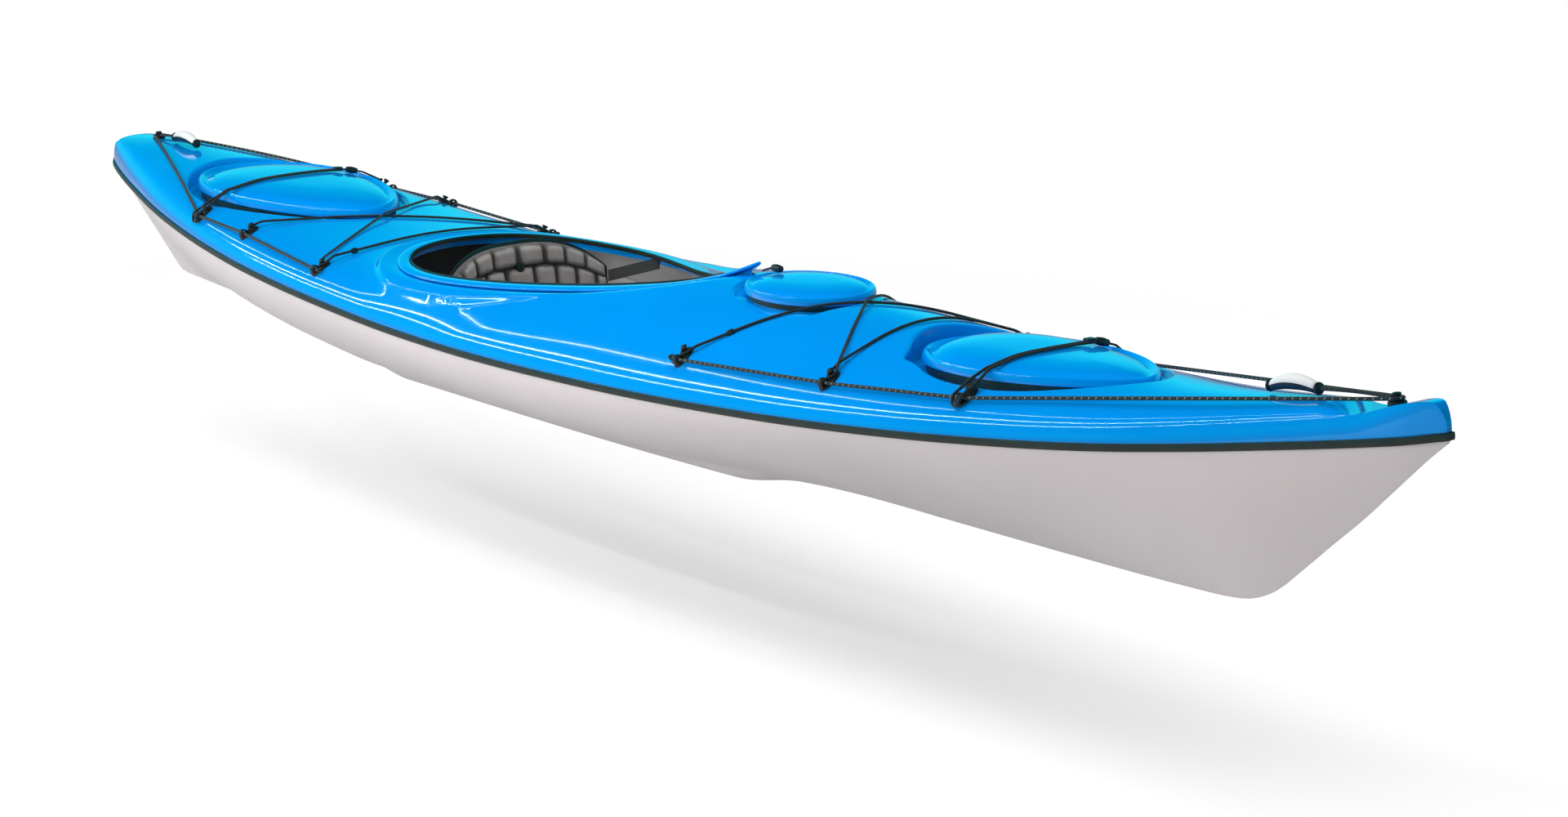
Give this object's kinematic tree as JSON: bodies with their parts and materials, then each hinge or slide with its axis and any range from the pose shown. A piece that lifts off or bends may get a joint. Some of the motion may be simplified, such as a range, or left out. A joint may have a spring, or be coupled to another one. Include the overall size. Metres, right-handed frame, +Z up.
{
  "type": "sea kayak",
  "caption": "Decked touring kayak with lidded hatches, keyhole cockpit, adjustable seat and foot braces, deck lines and end grips for carrying.",
  "frame": {"origin": "centre of the bounding box on the ground, under mid-length", "axes": "+X points to the bow, +Y to port, +Z up"},
  "size_m": [4.2766, 0.5996, 0.3864],
  "materials": {
    "deck": "glossy azure moulded sheet",
    "hull": "semi-gloss warm pale grey moulded sheet",
    "rubber": "satin near-black rubber",
    "black_plastic": "matt black moulding",
    "cord": "braided black cord with light flecks",
    "webbing": "woven black webbing",
    "foam": "matt grey foam under thin fabric",
    "handle": "white moulding",
    "bolt": "brushed stainless"
  },
  "bodies": {
    "boat": {"hull_shell": "hull", "deck_shell": "deck", "seam_trim": "rubber", "bow_hatch_ring": "rubber", "day_hatch_ring": "rubber", "stern_hatch_ring": "rubber", "cockpit_edge_strip": "rubber", "day_pod": "black_plastic", "bow_bulkhead": "black_plastic", "stern_bulkhead": "black_plastic", "deck_fitting_a_port": "black_plastic", "deck_fitting_a_starboard": "black_plastic", "deck_fitting_b_port": "black_plastic", "deck_fitting_b_starboard": "black_plastic", "deck_fitting_c_port": "black_plastic", "deck_fitting_c_starboard": "black_plastic", "deck_fitting_d_port": "black_plastic", "deck_fitting_d_starboard": "black_plastic", "deck_fitting_e_port": "black_plastic", "deck_fitting_e_starboard": "black_plastic", "deck_fitting_f_port": "black_plastic", "deck_fitting_f_starboard": "black_plastic", "bow_fitting": "black_plastic", "stern_fitting": "black_plastic", "fore_cord_bead": "black_plastic", "rear_cord_bead": "black_plastic", "seat_pan": "black_plastic", "foot_rail_port": "black_plastic", "foot_rail_starboard": "black_plastic", "stern_perimeter_line": "cord", "bow_perimeter_line": "cord", "fore_shock_cord": "cord", "rear_shock_cord": "cord", "seat_strap_port": "webbing", "seat_strap_starboard": "webbing", "seat_cushion": "foam", "thigh_pad_port": "foam", "thigh_pad_starboard": "foam", "seat_bolt_port": "bolt", "seat_bolt_starboard": "bolt"},
    "bow_lid": {"bow_hatch_lid": "deck"},
    "day_lid": {"day_hatch_lid": "deck", "day_hatch_strap": "cord", "day_strap_toggle": "black_plastic"},
    "stern_lid": {"stern_hatch_lid": "deck"},
    "bow_strap": {"bow_hatch_strap": "cord", "bow_strap_toggle": "black_plastic"},
    "stern_strap": {"stern_hatch_strap": "cord", "stern_strap_toggle": "black_plastic"},
    "bow_grip": {"bow_grip_cap": "handle", "bow_grip_cord": "black_plastic"},
    "stern_grip": {"stern_grip_cap": "handle", "stern_grip_cord": "black_plastic"},
    "seat_back": {"seat_back_shell": "black_plastic", "seat_back_pad": "foam"},
    "pedal_port": {"pedal_port": "black_plastic"},
    "pedal_starboard": {"pedal_starboard": "black_plastic"},
    "lock_port": {"pedal_lock_port": "black_plastic"},
    "lock_starboard": {"pedal_lock_starboard": "black_plastic"}
  },
  "joints": [
    {"name": "bow_lid_lift", "type": "slide", "parent": "boat", "child": "bow_lid", "axis": [0, 0, 1], "range_m": [0, 0.065]},
    {"name": "day_lid_lift", "type": "slide", "parent": "boat", "child": "day_lid", "axis": [0, 0, 1], "range_m": [0, 0.065]},
    {"name": "stern_lid_lift", "type": "slide", "parent": "boat", "child": "stern_lid", "axis": [0, 0, 1], "range_m": [0, 0.065]},
    {"name": "bow_strap_swing", "type": "hinge", "parent": "boat", "child": "bow_strap", "pos_m": [1.24606, -0.19094, 0.27458], "axis": [1, 0, 0], "range_deg": [0, 125]},
    {"name": "stern_strap_swing", "type": "hinge", "parent": "boat", "child": "stern_strap", "pos_m": [-1.32208, -0.23646, 0.27127], "axis": [1, 0, 0], "range_deg": [0, 125]},
    {"name": "bow_grip_swing", "type": "hinge", "parent": "boat", "child": "bow_grip", "pos_m": [2.02079, 0, 0.37715], "axis": [0, 1, 0], "range_deg": [0, 70]},
    {"name": "stern_grip_swing", "type": "hinge", "parent": "boat", "child": "stern_grip", "pos_m": [-1.96858, 0, 0.36194], "axis": [0, -1, 0], "range_deg": [0, 70]},
    {"name": "seat_back_recline", "type": "hinge", "parent": "boat", "child": "seat_back", "pos_m": [-0.405, 0, 0.1], "axis": [0, 1, 0], "range_deg": [-12, 12], "deforming": ["seat_strap_port", "seat_strap_starboard"]},
    {"name": "pedal_slide_port", "type": "slide", "parent": "boat", "child": "pedal_port", "axis": [0.9978, -0.0665, 0], "range_m": [-0.13, 0.13]},
    {"name": "pedal_slide_starboard", "type": "slide", "parent": "boat", "child": "pedal_starboard", "axis": [0.9978, 0.0665, 0], "range_m": [-0.13, 0.13]},
    {"name": "lock_swing_port", "type": "hinge", "parent": "pedal_port", "child": "lock_port", "pos_m": [0.61746, 0.19432, 0.14], "axis": [0, 0, 1], "range_deg": [0, 25]},
    {"name": "lock_swing_starboard", "type": "hinge", "parent": "pedal_starboard", "child": "lock_starboard", "pos_m": [0.61746, -0.19432, 0.14], "axis": [0, 0, -1], "range_deg": [0, 25]}
  ],
  "couplings": [
    {"joint": "bow_strap_swing", "follows": "bow_lid_lift", "rad_per_m": 33.5},
    {"joint": "stern_strap_swing", "follows": "stern_lid_lift", "rad_per_m": 33.5}
  ]
}
